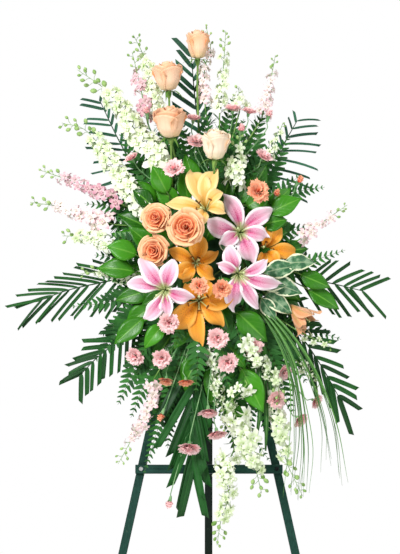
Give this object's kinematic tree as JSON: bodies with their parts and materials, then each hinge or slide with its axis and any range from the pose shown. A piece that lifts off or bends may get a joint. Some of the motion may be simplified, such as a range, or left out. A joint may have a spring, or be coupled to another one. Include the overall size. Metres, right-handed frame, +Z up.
{
  "type": "standing funeral spray",
  "caption": "Standing funeral spray: roses, lilies, carnations, larkspur and greenery in a foam block, hung on a folding wooden easel with a hinged rear leg.",
  "frame": {"origin": "on the floor, under the middle of the whole part's bounding box", "axes": "+Z up, -Y towards the viewer whom the flowers face, +X to that viewer's right"},
  "size_m": [0.9406, 0.7134, 1.775],
  "materials": {
    "cage_plastic": "dark green moulded plastic",
    "carnation_coral": "matte frilled coral petals",
    "carnation_pink": "matte frilled pink petals",
    "easel_green_paint": "dark green paint on a planed softwood lath",
    "easel_rear_paint": "near-black green paint on a softwood lath",
    "fern_green": "soft matte green frond",
    "grass_green": "thin firm grass blade",
    "green_stem": "fresh green stem and sepals",
    "hinge_steel": "plain rolled steel",
    "hook_wire": "galvanised wire",
    "larkspur_mauve": "thin mauve-pink florets",
    "larkspur_white": "thin greenish white florets",
    "lily_brown_peach": "waxy brownish peach petal",
    "lily_orange": "waxy orange petal",
    "lily_pink": "waxy pink petal with a pale margin",
    "lily_yellow": "waxy yellow petal",
    "palm_green": "firm satin dark green leaflet",
    "rose_apricot": "soft matte apricot petal",
    "rose_cream": "soft matte cream petal",
    "rose_peach": "soft matte peach petal",
    "salal_green": "glossy leathery green leaf",
    "screw_black": "blackened steel",
    "screw_steel": "bright zinc-plated steel",
    "variegated_green": "green leaf with a cream margin",
    "wet_foam": "open-cell floral foam soaked with water"
  },
  "bodies": {
    "front_frame_and_spray": {"bear_grass": "grass_green", "carnations_coral_low": "carnation_coral", "carnations_coral_right": "carnation_coral", "carnations_left": "carnation_pink", "carnations_low": "carnation_pink", "carnations_right": "carnation_pink", "carnations_top": "carnation_pink", "carnations_upper_left": "carnation_pink", "crossbar_screw_left": "screw_steel", "crossbar_screw_right": "screw_black", "easel_crossbar": "easel_green_paint", "easel_head_block": "easel_green_paint", "easel_left_leg": "easel_green_paint", "easel_right_leg": "easel_green_paint", "fern_left": "fern_green", "fern_right": "fern_green", "floral_foam": "wet_foam", "foam_cage": "cage_plastic", "hanging_hook": "hook_wire", "hinge_fixed_leaf": "hinge_steel", "larkspur_left": "larkspur_white", "larkspur_low_left": "larkspur_mauve", "larkspur_low_middle": "larkspur_white", "larkspur_low_right": "larkspur_white", "larkspur_pink_left": "larkspur_mauve", "larkspur_right": "larkspur_mauve", "larkspur_top": "larkspur_white", "larkspur_white_upper_left": "larkspur_white", "lily_orange_low": "lily_orange", "lily_orange_middle": "lily_orange", "lily_orange_right": "lily_orange", "lily_peach_side": "lily_brown_peach", "lily_pink_left": "lily_pink", "lily_pink_middle": "lily_pink", "lily_pink_upper": "lily_pink", "lily_yellow": "lily_yellow", "palm_bottom": "palm_green", "palm_left": "palm_green", "palm_lower_left": "palm_green", "palm_lower_right": "palm_green", "palm_right": "palm_green", "palm_top": "palm_green", "palm_upper_left": "palm_green", "palm_upper_right": "palm_green", "rose_bud_cream": "rose_cream", "rose_bud_cream_stem": "green_stem", "rose_bud_left": "rose_peach", "rose_bud_left_stem": "green_stem", "rose_bud_low": "rose_peach", "rose_bud_low_stem": "green_stem", "rose_bud_top": "rose_peach", "rose_bud_top_stem": "green_stem", "rose_open_left": "rose_apricot", "rose_open_low": "rose_apricot", "rose_open_middle": "rose_apricot", "salal_left": "salal_green", "salal_right": "salal_green", "variegated_leaves": "variegated_green"},
    "rear_leg": {"easel_rear_leg": "easel_rear_paint", "hinge_moving_leaf": "hinge_steel"}
  },
  "joints": [
    {"name": "rear_leg_hinge", "type": "hinge", "parent": "front_frame_and_spray", "child": "rear_leg", "pos_m": [0.0235, -0.01117, 1.3813], "axis": [-1, 0, 0], "range_deg": [0, 25]}
  ]
}
